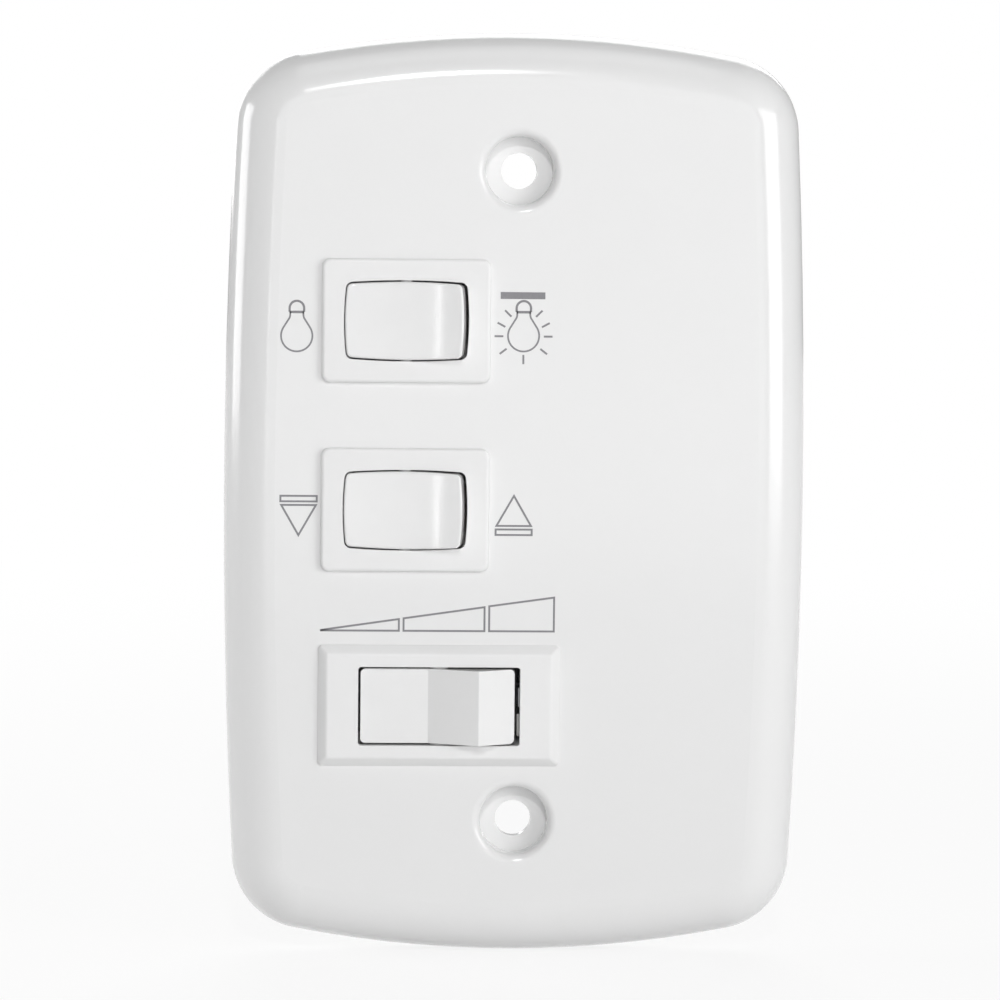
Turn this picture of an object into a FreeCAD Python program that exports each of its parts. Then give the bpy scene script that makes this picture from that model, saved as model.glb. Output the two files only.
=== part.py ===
# Fan speed control for a flush wall box: one moulded faceplate that carries a lamp
# switch, a reversing switch, a three-position speed switch and the motor capacitor.
#
# Axes: X across the plate, Z up, -Y out of the wall towards the user.
# The origin is midway between the two box screws, on the plane of the wall.
# Depths are therefore negative in front of the wall and positive inside the box.
import FreeCAD, Part
import math
import os

import Sketcher

Vector = FreeCAD.Vector
doc = FreeCAD.newDocument("fan_speed_control")
sheet = doc.addObject("Spreadsheet::Sheet", "sizes")


class Size:
    """A length or angle: its present value, and the sheet formula that gives it."""

    def __init__(self, value, formula):
        self.value = float(value)
        self.formula = formula

    def __add__(self, other):
        return Size(self.value + value_of(other), f"({self.formula} + {formula_of(other)})")

    def __sub__(self, other):
        return Size(self.value - value_of(other), f"({self.formula} - {formula_of(other)})")

    def __rsub__(self, other):
        return Size(value_of(other) - self.value, f"({formula_of(other)} - {self.formula})")

    def __mul__(self, other):
        return Size(self.value * value_of(other), f"({self.formula} * {formula_of(other)})")

    def __truediv__(self, other):
        return Size(self.value / value_of(other), f"({self.formula} / {formula_of(other)})")

    def __neg__(self):
        return Size(-self.value, f"(0 - {self.formula})")

    __radd__ = __add__
    __rmul__ = __mul__


def value_of(item):
    return item.value if isinstance(item, Size) else float(item)


def formula_of(item):
    return item.formula if isinstance(item, Size) else f"({float(item)})"


def sine(angle):
    return Size(math.sin(math.radians(value_of(angle))), f"sin({formula_of(angle)})")


def cosine(angle):
    return Size(math.cos(math.radians(value_of(angle))), f"cos({formula_of(angle)})")


def root(square):
    return Size(math.sqrt(value_of(square)), f"sqrt({formula_of(square)})")


def size(alias, number, note):
    """One driving dimension: a row of the sheet with a name, a number and a note."""
    size.row += 1
    sheet.set(f"A{size.row}", alias)
    sheet.set(f"B{size.row}", str(number))
    sheet.set(f"C{size.row}", note)
    sheet.setAlias(f"B{size.row}", alias)
    return Size(number, f"sizes.{alias}")


size.row = 0

# Faceplate, measured on the photograph against the standard pitch of the box screws.
screw_pitch = size("screw_pitch", 83.3, "between the two box screws")
plate_width = size("plate_width", 75.0, "across the middle")
plate_height = size("plate_height", 118.5, "over the middle of top and bottom")
plate_depth = size("plate_depth", 8.5, "front face to wall")
plate_wall = size("plate_wall", 2.0, "moulded wall")
side_bow = size("side_bow", 1.7, "how far each long side swells")
end_bow = size("end_bow", 4.45, "how far top and bottom swell")
plate_corner = size("plate_corner", 10.0, "corner radius in front view")
rim_round = size("rim_round", 6.6, "rounding of the rim")
screw_hole = size("screw_hole", 2.3, "radius of the box screw holes")
recess_radius = size("recess_radius", 4.35, "screw head recess")
recess_depth = size("recess_depth", 3.0, "front face to recess floor")
recess_floor = size("recess_floor", 1.3, "thickness under the screw head")
recess_lip = size("recess_lip", 1.15, "rounded mouth of the recess")
boss_wall = size("boss_wall", 1.6, "wall round the recess")
rib_width = size("rib_width", 1.2, "stiffening ribs")
rib_height = size("rib_height", 3.4, "stiffening ribs, off the inner face")

# Where the modules sit.
rocker_column = size("rocker_column", -14.3, "centre line of the two rockers, X")
lamp_level = size("lamp_level", 22.45, "lamp switch, Z")
reversing_level = size("reversing_level", -1.65, "reversing switch, Z")
speed_column = size("speed_column", -9.75, "speed switch, X")
speed_level = size("speed_level", -26.75, "speed switch, Z")

# Rocker switch module, made twice.
body_length = size("body_length", 18.6, "module body, X")
body_height = size("body_height", 12.8, "module body, Z")
module_wall = size("module_wall", 1.2, "walls of the module bodies")
cutout_gap = size("cutout_gap", 0.2, "body to plate cut-out, each side")
flange_ends = size("flange_ends", 1.46, "flange beyond the body, left and right")
flange_sides = size("flange_sides", 1.48, "flange beyond the body, above and below")
flange_rise = size("flange_rise", 0.85, "flange in front of the plate")
flange_corner = size("flange_corner", 1.1, "corner radius of the flange")
flange_round = size("flange_round", 0.5, "flange edge rounding")
opening_ends = size("opening_ends", 1.35, "body beyond the opening, left and right")
opening_sides = size("opening_sides", 1.25, "body beyond the opening, above and below")
opening_bow = size("opening_bow", 0.3, "swell of each side of the opening")
opening_corner = size("opening_corner", 0.9, "corner radius of the opening")
lip_skin = size("lip_skin", 0.3, "opening lip behind the plate's front face")
snap_reach = size("snap_reach", 0.9, "snap lug beyond the module body")
snap_length = size("snap_length", 3.2, "ramp of the snap lug")
snap_width = size("snap_width", 5.6, "width of the snap lug")
snap_gap = size("snap_gap", 0.1, "snap lug to the plate's inner face")
slit_width = size("slit_width", 0.6, "slit round the snap tongue")
tongue_margin = size("tongue_margin", 0.4, "tongue beside the snap lug")

# Rocker and what it drives.
rocker_tilt = size("rocker_tilt", 8.0, "degrees each side of level")
rocker_axis = size("rocker_axis", 0.5, "rocker axis behind the plate's front face")
rocker_gap = size("rocker_gap", 0.2, "rocker to opening, above and below")
rocker_end_gap = size("rocker_end_gap", 0.35, "rocker to opening at each end, level")
rocker_edge = size("rocker_edge", 2.38, "rocker axis to the ends of the dished face")
rocker_dish = size("rocker_dish", 0.53, "depth of the dished face")
rocker_skirt = size("rocker_skirt", 1.3, "rocker skirt behind the axis")
rocker_wall = size("rocker_wall", 1.2, "rocker walls")
rocker_round = size("rocker_round", 0.25, "rocker edge rounding")
pin_radius = size("pin_radius", 0.8, "rocker pivot pins")
pin_bite = size("pin_bite", 0.8, "pin length inside the module wall")
pivot_gap = size("pivot_gap", 0.05, "radial running clearance of pivots")
boss_radius = size("boss_radius", 1.9, "spring boss under the rocker")
boss_reach = size("boss_reach", 5.0, "rocker axis to the end of the boss")
bore_radius = size("bore_radius", 1.2, "bore of the boss")
bore_top = size("bore_top", 0.5, "rocker axis to the closed end of the bore")
plunger_gap = size("plunger_gap", 0.1, "plunger to bore, radial")
plunger_back = size("plunger_back", 3.9, "rocker axis to the plunger shoulder")
plunger_tip = size("plunger_tip", 7.6, "rocker axis to the plunger tip")
plunger_flat = size("plunger_flat", 0.33, "radius of the flat on the plunger's nose")
spigot_radius = size("spigot_radius", 0.5, "plunger spigot inside the spring")
spigot_length = size("spigot_length", 1.2, "plunger spigot")
spring_wire = size("spring_wire", 0.28, "wire diameter of the rocker springs")
spring_coils = size("spring_coils", 5, "turns of the rocker springs")
spring_play = size("spring_play", 0.1, "spring to bore, radial")

# Contact arm: a see-saw strip on the edge of the common terminal.
arm_axis = size("arm_axis", 9.0, "rocker axis to the see-saw axis")
arm_tilt = size("arm_tilt", 8.0, "degrees each side of level")
arm_overhang = size("arm_overhang", 1.0, "arm beyond the middle of its contact")
arm_width = size("arm_width", 4.4, "arm width")
arm_top = size("arm_top", 1.3, "see-saw axis to the arm's front face")
strip = size("strip", 0.5, "arm strip thickness")
ear_half = size("ear_half", 1.5, "half length of the arm's ears")
ear_drop = size("ear_drop", 1.2, "ears behind the see-saw axis")
ear_taper = size("ear_taper", 0.15, "ears narrower at their free end, each side")
notch_flare = size("notch_flare", 14.0, "half angle of the knife-edge notch")
contact_inset = size("contact_inset", 1.7, "end blade to the middle of its contact")
contact_radius = size("contact_radius", 1.1, "contact rivet heads")
contact_height = size("contact_height", 0.5, "contact rivet heads")
contact_dome = size("contact_dome", 0.25, "edge rounding of the contact heads")
shank_radius = size("shank_radius", 0.55, "contact rivet shanks")
contact_gap = size("contact_gap", 0.2, "closed contacts, rest clearance")
tab_thickness = size("tab_thickness", 0.8, "terminal strip")
tab_width = size("tab_width", 4.8, "terminal blades of the rocker modules")
tab_reach = size("tab_reach", 7.6, "blades beyond the module floor")
tab_hole = size("tab_hole", 0.75, "radius of the blade hole")
bend_relief = size("bend_relief", 0.16, "outer bend radius short of the strip thickness")
hole_share = size("hole_share", 0.55, "blade hole from the tip, as a share of the width")
tab_tip = size("tab_tip", 1.0, "chamfer at the blade tip")
end_tab_gap = size("end_tab_gap", 1.1, "end blade to the module's end wall")

# Speed switch module.
bezel_length = size("bezel_length", 31.0, "speed module bezel, X")
bezel_height = size("bezel_height", 15.55, "speed module bezel, Z")
bezel_rise = size("bezel_rise", 1.2, "bezel in front of the plate")
bezel_chamfer = size("bezel_chamfer", 1.1, "bezel edge chamfer")
bezel_corner = size("bezel_corner", 0.5, "rounding of the bezel's corners")
bezel_soft = size("bezel_soft", 0.6, "rounding of the bezel's front edge")
window_length = size("window_length", 20.7, "bezel opening, X")
window_height = size("window_height", 10.1, "bezel opening, Z")
window_corner = size("window_corner", 0.4, "corner radius of the window")
speed_body_length = size("speed_body_length", 28.0, "speed module body, X")
speed_body_height = size("speed_body_height", 12.8, "speed module body, Z")
speed_end_wall = size("speed_end_wall", 1.4, "end walls of the speed module")

# Paddle: a valley, a ridge for the finger and a notched quadrant under its right end.
paddle_tilt = size("paddle_tilt", 10.0, "degrees between two speeds")
paddle_axis = size("paddle_axis", 0.9, "paddle axis behind the plate's front face")
paddle_gap = size("paddle_gap", 0.27, "paddle to window, above and below")
paddle_left = size("paddle_left", 9.65, "axis to the left end")
paddle_left_rise = size("paddle_left_rise", 3.1, "left end in front of the axis")
valley_offset = size("valley_offset", 1.14, "valley left of the axis")
valley_rise = size("valley_rise", 1.6, "valley in front of the axis")
ridge_offset = size("ridge_offset", 5.64, "ridge right of the axis")
ridge_rise = size("ridge_rise", 3.47, "ridge in front of the axis")
paddle_right = size("paddle_right", 9.8, "axis to the right end")
paddle_skirt = size("paddle_skirt", 1.7, "skirt behind the axis")
paddle_wall = size("paddle_wall", 1.3, "paddle walls")
ridge_wall = size("ridge_wall", 1.56, "paddle wall under the ridge and at the right end")
slope_wall = size("slope_wall", 2.08, "paddle wall at the foot of the steep slope, X")
paddle_corner = size("paddle_corner", 0.6, "corner radius in front view")
paddle_pin = size("paddle_pin", 1.2, "pivot pin radius")
quadrant_radius = size("quadrant_radius", 9.3, "notched quadrant")
quadrant_width = size("quadrant_width", 3.0, "notched quadrant")
quadrant_shift = size("quadrant_shift", 0.85, "quadrant above the module centre")
web_width = size("web_width", 2.6, "web that carries the quadrant")
web_gap = size("web_gap", 1.04, "spring boss to the web")
notch_depth = size("notch_depth", 0.35, "detent notches")
notch_half = size("notch_half", 3.0, "half width of a notch in degrees")
detent_angle = size("detent_angle", 38.0, "where the detent nose bears, degrees")
leaf_thickness = size("leaf_thickness", 0.3, "detent leaf spring")
leaf_width = size("leaf_width", 2.4, "detent leaf spring")
leaf_line = size("leaf_line", 10.9, "module centre to the standing leaf")
leaf_lean = size("leaf_lean", 0.6, "how far the leaf's tip leans back inwards")
leaf_foot = size("leaf_foot", 1.2, "foot of the leaf on the module floor")
leaf_nose = size("leaf_nose", 1.0, "detent nose to the bends on either side of it")
leaf_tip = size("leaf_tip", 2.2, "plate's front face to the leaf's tip")
nose_gap = size("nose_gap", 0.1, "detent nose to quadrant")
paddle_boss = size("paddle_boss", 2.6, "boss radius under the paddle")
paddle_boss_reach = size("paddle_boss_reach", 8.4, "axis to the boss end")
paddle_bore = size("paddle_bore", 1.6, "bore radius of the boss")
paddle_bore_top = size("paddle_bore_top", 1.0, "axis to the closed end of the bore")
pusher_back = size("pusher_back", 6.8, "axis to the pusher shoulder")
pusher_end = size("pusher_end", 11.6, "axis to the bridge seat")
pusher_spigot = size("pusher_spigot", 0.85, "pusher spigot radius")
pusher_spigot_length = size("pusher_spigot_length", 1.4, "spigot inside the spring")
speed_wire = size("speed_wire", 0.36, "wire diameter of the speed spring")
speed_coils = size("speed_coils", 6, "turns of the speed spring")
bridge_length = size("bridge_length", 8.6, "contact bridge, along Z")
bridge_width = size("bridge_width", 2.0, "contact bridge, along X")
bridge_strip = size("bridge_strip", 0.6, "contact bridge strip")
foot_radius = size("foot_radius", 0.75, "bridge feet")
foot_height = size("foot_height", 0.9, "bridge feet")
foot_round = size("foot_round", 0.45, "edge rounding of the bridge feet")
track_offset = size("track_offset", 2.9, "module centre to each contact track, Z")
track_width = size("track_width", 4.0, "terminal strips of the speed module")
track_gap = size("track_gap", 0.3, "bridge feet to the contacts")
speed_spacing = size("speed_spacing", 2.4, "between two fixed contacts")
speed_contact = size("speed_contact", 0.8, "radius of the fixed contacts")
foot_margin = size("foot_margin", 0.08, "terminal strip beyond the fixed contacts")
speed_rise = size("speed_rise", 0.6, "middle fixed contact off its strip")
rail_start = size("rail_start", 3.8, "module centre to the free end of the rail")
rail_tab = size("rail_tab", 11.0, "module centre to the common blade")
rail_finger = size("rail_finger", 2.9, "width of the rail's standing finger")
finger_top = size("finger_top", 3.4, "plate's front face to the finger's end")
outer_tab = size("outer_tab", 8.9, "module centre to the low and high blades")

# Motor capacitor in its moulded cradle behind the plate.
capacitor_column = size("capacitor_column", 17.2, "capacitor, X")
capacitor_level = size("capacitor_level", -1.6, "capacitor, Z")
capacitor_width = size("capacitor_width", 16.0, "capacitor, X")
capacitor_depth = size("capacitor_depth", 25.0, "capacitor, Y")
capacitor_height = size("capacitor_height", 37.0, "capacitor, Z")
capacitor_wall = size("capacitor_wall", 1.2, "capacitor case wall")
capacitor_round = size("capacitor_round", 1.5, "capacitor case, upright edges")
capacitor_edge = size("capacitor_edge", 0.9, "capacitor case, edges of its closed end")
resin_drop = size("resin_drop", 1.0, "potting below the rim of the case")
cradle_gap = size("cradle_gap", 0.2, "capacitor to cradle")
cradle_wall = size("cradle_wall", 1.4, "cradle walls")
cradle_height = size("cradle_height", 6.0, "cradle walls off the inner face")
clip_width = size("clip_width", 6.0, "cradle clips, X")
clip_lip = size("clip_lip", 1.0, "clip hook over the capacitor rim")
clip_rise = size("clip_rise", 1.8, "height of the clip hook")
blade_width = size("blade_width", 6.3, "capacitor blades")
blade_reach = size("blade_reach", 8.0, "blades beyond the potting")
blade_root = size("blade_root", 3.0, "blades inside the potting")
blade_pitch = size("blade_pitch", 9.0, "between capacitor blades")
blade_offset = size("blade_offset", 3.2, "blade rows off the centre line")
doc.recompute()

run_out = 1.0  # How far a cut runs on past the face that it opens.
nearly_half_round = 0.999  # Rise of an arc, as a share of the half circle's.
slack = 1e-4  # Tolerance when an edge is picked by its place.
front = -plate_depth
inner_face = -(plate_depth - plate_wall)
half_tab = tab_thickness / 2
opening_length = body_length - opening_ends * 2
opening_height = body_height - opening_sides * 2
end_tab = body_length / 2 - module_wall - end_tab_gap
contact_reach = end_tab - contact_inset
arm_half = contact_reach + arm_overhang


def bind(target, prop, value):
    target.setExpression(prop, formula_of(value))


def new_body(name, x=0, y=0, z=0, turn=None):
    """A piece of the switch, placed in the plate's frame and turned about Z."""
    body = doc.addObject("PartDesign::Body", name)
    body.Label = name
    angle = value_of(turn) if turn is not None else 0
    base = Vector(value_of(x), value_of(y), value_of(z))
    body.Placement = FreeCAD.Placement(base, FreeCAD.Rotation(Vector(0, 0, 1), angle))
    for axis, value in (("x", x), ("y", y), ("z", z)):
        bind(body, f"Placement.Base.{axis}", value)
    if turn is not None:
        bind(body, "Placement.Rotation.Angle", turn)
    return body


def new_sketch(body, plane, offset=0):
    """A sketch on one of the body's own planes; offset runs along the plane's normal."""
    new_sketch.count += 1
    sketch = body.newObject("Sketcher::SketchObject", f"sketch{new_sketch.count}")
    support = next(item for item in body.Origin.OriginFeatures if item.Role == plane)
    sketch.AttachmentSupport = [(support, "")]
    sketch.MapMode = "FlatFace"
    bind(sketch, "AttachmentOffset.Base.z", offset)
    return sketch


new_sketch.count = 0


def front_sketch(body, depth=0):
    """Seen from the front, X to the right and Z up, at a depth along Y."""
    return new_sketch(body, "XZ_Plane", -depth)


def plan_sketch(body, level=0):
    """Seen along Z, with X to the right and Y into the wall."""
    return new_sketch(body, "XY_Plane", level)


def side_sketch(body, offset=0):
    """Seen along X: the sketch's first axis is Y, the second is Z."""
    return new_sketch(body, "YZ_Plane", offset)


def fix(sketch, kind, geometry, point, value):
    """Ties one coordinate of a point, or a radius, to a formula on the sheet."""
    if kind == "Radius":
        index = sketch.addConstraint(Sketcher.Constraint(kind, geometry, value_of(value)))
    else:
        index = sketch.addConstraint(Sketcher.Constraint(kind, geometry, point, value_of(value)))
    if isinstance(value, Size):
        bind(sketch, f"Constraints[{index}]", value)


def outline(sketch, corners, bows=()):
    """A closed outline through the corners, counterclockwise. The first edges swell
    outwards at their middle by the rises in bows; the others stay straight."""
    points = [Vector(value_of(x), value_of(y), 0) for x, y in corners]
    count = len(points)
    edges = []
    for i, start in enumerate(points):
        end = points[(i + 1) % count]
        if i < len(bows):
            run = end - start
            outward = Vector(run.y, -run.x, 0).normalize()
            middle = (start + end) / 2 + outward * value_of(bows[i])
            edges.append(sketch.addGeometry(Part.Arc(start, middle, end), False))
        else:
            edges.append(sketch.addGeometry(Part.LineSegment(start, end), False))
    ends = []
    for i, edge in enumerate(edges):
        flipped = (sketch.getPoint(edge, 1) - points[i]).Length > 1e-6
        ends.append((2, 1) if flipped else (1, 2))
    for i, edge in enumerate(edges):
        follower = (i + 1) % count
        sketch.addConstraint(
            Sketcher.Constraint("Coincident", edge, ends[i][1], edges[follower], ends[follower][0]))
        fix(sketch, "DistanceX", edge, ends[i][0], corners[i][0])
        fix(sketch, "DistanceY", edge, ends[i][0], corners[i][1])
    for i, rise in enumerate(bows):
        x0, y0 = corners[i]
        x1, y1 = corners[(i + 1) % count]
        half_square = ((x1 - x0) * (x1 - x0) + (y1 - y0) * (y1 - y0)) / 4
        fix(sketch, "Radius", edges[i], 0, (half_square + rise * rise) / (rise * 2))


def open_path(sketch, points):
    """Straight lines from point to point."""
    for i, (start, end) in enumerate(zip(points, points[1:])):
        line = Part.LineSegment(*(Vector(value_of(x), value_of(y), 0) for x, y in (start, end)))
        edge = sketch.addGeometry(line, False)
        for place, (x, y) in ((1, start), (2, end)):
            fix(sketch, "DistanceX", edge, place, x)
            fix(sketch, "DistanceY", edge, place, y)


def rectangle(sketch, x0, y0, x1, y1):
    outline(sketch, [(x0, y0), (x1, y0), (x1, y1), (x0, y1)])


def centred(sketch, length, height, x=0, y=0):
    rectangle(sketch, x - length / 2, y - height / 2, x + length / 2, y + height / 2)


def circle(sketch, x, y, radius):
    centre = Vector(value_of(x), value_of(y), 0)
    ring = sketch.addGeometry(Part.Circle(centre, Vector(0, 0, 1), value_of(radius)), False)
    fix(sketch, "DistanceX", ring, 3, x)
    fix(sketch, "DistanceY", ring, 3, y)
    fix(sketch, "Radius", ring, 0, radius)


def feature(kind, sketch, length, reverse=False, symmetric=False):
    body = sketch.getParentGeoFeatureGroup()
    item = body.newObject(f"PartDesign::{kind}", f"{kind}_{sketch.Name}")
    item.Profile = sketch
    if symmetric:
        item.SideType = "Symmetric"
    item.Reversed = reverse
    bind(item, "Length", length)
    return item


def pad(sketch, length, **options):
    """Adds material on the side that the sketch faces."""
    return feature("Pad", sketch, length, **options)


def pocket(sketch, length, **options):
    """Removes material on the side behind the sketch."""
    return feature("Pocket", sketch, length, **options)


def revolve(sketch, axis="V_Axis"):
    """Turns a half section about one of its sketch's own axes."""
    body = sketch.getParentGeoFeatureGroup()
    item = body.newObject("PartDesign::Revolution", f"Revolution_{sketch.Name}")
    item.Profile = sketch
    item.ReferenceAxis = (sketch, [axis])
    item.Angle = 360
    return item


def dress(kind, body, chosen, amount):
    """A fillet or chamfer on the edges of the body that chosen() picks."""
    doc.recompute()
    base = body.Tip
    names = [f"Edge{i}" for i, edge in enumerate(base.Shape.Edges, 1) if chosen(edge)]
    item = body.newObject(f"PartDesign::{kind}", f"{kind}_{base.Name}")
    item.Base = (base, names)
    bind(item, "Radius" if kind == "Fillet" else "Size", amount)
    return item


def at_depth(depth):
    """Picks the edges that lie in one plane square to Y."""
    def chosen(edge):
        box = edge.BoundBox
        return abs(box.YMin - value_of(depth)) < slack and abs(box.YMax - value_of(depth)) < slack
    return chosen


def along_depth(edge):
    """Picks the straight edges that run along Y."""
    box = edge.BoundBox
    return box.XLength < slack and box.ZLength < slack


def slanting_or_deep(edge):
    """Picks the edges that run along Y or lean towards it."""
    return edge.BoundBox.YLength > slack


def corner_of(x, z):
    """Picks the edges along Y through the four corners of a centred outline."""
    def chosen(edge):
        middle = edge.BoundBox.Center
        return (along_depth(edge) and abs(abs(middle.x) - value_of(x)) < slack
                and abs(abs(middle.z) - value_of(z)) < slack)
    return chosen


def ring_of(radius, depth):
    """Picks the circular edges of one radius in one plane square to Y."""
    def chosen(edge):
        same = hasattr(edge.Curve, "Radius") and abs(edge.Curve.Radius - value_of(radius)) < slack
        return same and at_depth(depth)(edge)
    return chosen


def faceplate():
    """One moulding: a bowed shell with screw recesses, cut-outs, ribs and a cradle."""
    body = new_body("faceplate")
    corner_x = plate_width / 2 - side_bow
    corner_z = plate_height / 2 - end_bow
    shape = front_sketch(body)
    outline(shape, [(-corner_x, -corner_z), (corner_x, -corner_z),
                    (corner_x, corner_z), (-corner_x, corner_z)],
            bows=(end_bow, side_bow, end_bow, side_bow))
    pad(shape, plate_depth)
    dress("Fillet", body, along_depth, plate_corner)
    dress("Fillet", body, at_depth(front), rim_round)
    doc.recompute()
    solid = body.Tip
    back = max(range(len(solid.Shape.Faces)),
               key=lambda i: solid.Shape.Faces[i].CenterOfMass.y)
    shell = body.newObject("PartDesign::Thickness", "plate_shell")
    shell.Base = (solid, [f"Face{back + 1}"])
    shell.Reversed = True
    bind(shell, "Value", plate_wall)

    boss_back = front + recess_depth + recess_floor
    bosses = front_sketch(body, boss_back)
    for level in (screw_pitch / 2, -screw_pitch / 2):
        circle(bosses, 0, level, recess_radius + boss_wall)
    pad(bosses, recess_depth + recess_floor - plate_wall)

    # Ribs run from the left wall to the cradle, between the modules.
    rib_left = -(plate_width / 2 - plate_wall - side_bow)
    cradle_left = capacitor_column - capacitor_width / 2 - cradle_gap - cradle_wall
    ribs = front_sketch(body, inner_face + rib_height)
    upper_rib = (lamp_level + reversing_level) / 2
    lower_rib = (reversing_level + speed_level) / 2
    for level in (upper_rib, lower_rib):
        rectangle(ribs, rib_left, level - rib_width / 2,
                  cradle_left + cradle_wall / 2, level + rib_width / 2)
    pad(ribs, rib_height)

    inner_length = capacitor_width + cradle_gap * 2
    inner_height = capacitor_height + cradle_gap * 2
    cradle = front_sketch(body, inner_face + cradle_height)
    centred(cradle, inner_length + cradle_wall * 2, inner_height + cradle_wall * 2,
            capacitor_column, capacitor_level)
    centred(cradle, inner_length, inner_height, capacitor_column, capacitor_level)
    pad(cradle, cradle_height)

    # Two clips stand off the cradle and hook over the rim of the capacitor.
    clip_top = inner_face + capacitor_depth + cradle_gap * 2
    clip_in = inner_height / 2
    for side in (1, -1):
        clip = side_sketch(body, capacitor_column)
        level = capacitor_level + clip_in * side
        profile = [(inner_face, level), (clip_top, level),
                   (clip_top, level - (clip_lip + cradle_gap) * side),
                   (clip_top + clip_rise, level + cradle_wall * side / 2),
                   (clip_top + clip_rise, level + cradle_wall * side),
                   (inner_face, level + cradle_wall * side)]
        if side < 0:
            profile.reverse()
        outline(clip, profile[::-1])
        pad(clip, clip_width, symmetric=True)

    cuts = front_sketch(body, front)
    for level in (lamp_level, reversing_level):
        centred(cuts, body_length + cutout_gap * 2, body_height + cutout_gap * 2,
                rocker_column, level)
    centred(cuts, speed_body_length + cutout_gap * 2, speed_body_height + cutout_gap * 2,
            speed_column, speed_level)
    pocket(cuts, plate_wall + run_out)

    recesses = front_sketch(body, front)
    holes = front_sketch(body, front)
    for level in (screw_pitch / 2, -screw_pitch / 2):
        circle(recesses, 0, level, recess_radius)
        circle(holes, 0, level, screw_hole)
    pocket(recesses, recess_depth)
    pocket(holes, recess_depth + recess_floor + run_out)
    dress("Fillet", body, ring_of(recess_radius, front), recess_lip)
    return body


def module_snaps(body, half_length):
    """A springy tongue with a ramped lug in each end wall grips the plate from behind."""
    lug_start = inner_face + snap_gap
    for side in (1, -1):
        lug = plan_sketch(body)
        wall = half_length * side
        profile = [(wall, lug_start), (wall + snap_reach * side, lug_start + snap_reach / 2),
                   (wall, lug_start + snap_length),
                   (wall - module_wall * side / 2, lug_start + snap_length / 3)]
        outline(lug, profile if side > 0 else profile[::-1])
        pad(lug, snap_width, symmetric=True)
    tongue = snap_width / 2 + tongue_margin
    slit_top = lug_start + snap_length + tongue_margin
    slits = side_sketch(body)
    outline(slits, [(lug_start, -tongue - slit_width), (slit_top + slit_width, -tongue - slit_width),
                    (slit_top + slit_width, tongue + slit_width), (lug_start, tongue + slit_width),
                    (lug_start, tongue), (slit_top, tongue), (slit_top, -tongue),
                    (lug_start, -tongue)])
    pocket(slits, (half_length + run_out) * 2, symmetric=True)


rocker_pivot = front + rocker_axis
arm_pivot = rocker_pivot + arm_axis
# With an arm closed, the tip of its rivet stands this far behind the see-saw axis.
closed_tip = sine(arm_tilt) * contact_reach - cosine(arm_tilt) * (arm_top - strip - contact_height)
contact_face = arm_pivot + closed_tip + contact_gap
leg_front = contact_face + contact_height
floor_front = leg_front + tab_thickness
floor_back = floor_front + module_wall
cavity_front = front + lip_skin
cavity_length = body_length - module_wall * 2
cavity_height = body_height - module_wall * 2


def rocker_housing(prefix, level, blades, stop):
    """Moulded case of a rocker switch: flange, swelling opening, pivot seats, snap
    tongues, a slot for each blade, and a stop where no contact carries the arm."""
    body = new_body(f"{prefix}_housing", rocker_column, 0, level)
    flange = front_sketch(body, front)
    centred(flange, body_length + flange_ends * 2, body_height + flange_sides * 2)
    pad(flange, flange_rise)
    dress("Fillet", body, along_depth, flange_corner)
    dress("Fillet", body, at_depth(front - flange_rise), flange_round)
    case = front_sketch(body, floor_back)
    centred(case, body_length, body_height)
    pad(case, floor_back - front)
    cavity = front_sketch(body, cavity_front)
    centred(cavity, cavity_length, cavity_height)
    pocket(cavity, floor_front - cavity_front)
    half_x = opening_length / 2 - opening_bow
    half_z = opening_height / 2 - opening_bow
    opening = front_sketch(body, front - flange_rise)
    outline(opening, [(-half_x, -half_z), (half_x, -half_z), (half_x, half_z), (-half_x, half_z)],
            bows=(opening_bow, opening_bow, opening_bow, opening_bow))
    pocket(opening, flange_rise + lip_skin)
    dress("Fillet", body, corner_of(half_x, half_z), opening_corner)
    seats = plan_sketch(body)
    circle(seats, 0, rocker_pivot, pin_radius + pivot_gap)
    pocket(seats, cavity_height + (pin_bite + pivot_gap * 2) * 2, symmetric=True)
    module_snaps(body, body_length / 2)
    slots = front_sketch(body, floor_front)
    for place in blades:
        centred(slots, tab_thickness, tab_width, place - half_tab * sign(place))
    pocket(slots, module_wall + run_out)
    if stop:
        block = front_sketch(body, floor_front)
        centred(block, contact_radius * 2, arm_width, contact_reach + contact_radius / 2)
        arm_back = arm_pivot + sine(arm_tilt) * arm_half - cosine(arm_tilt) * (arm_top - strip)
        pad(block, floor_front - arm_back - contact_gap)
    return body


def sign(place):
    """Which side of the module's centre line a place lies on."""
    return (value_of(place) > 0) - (value_of(place) < 0)


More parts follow.
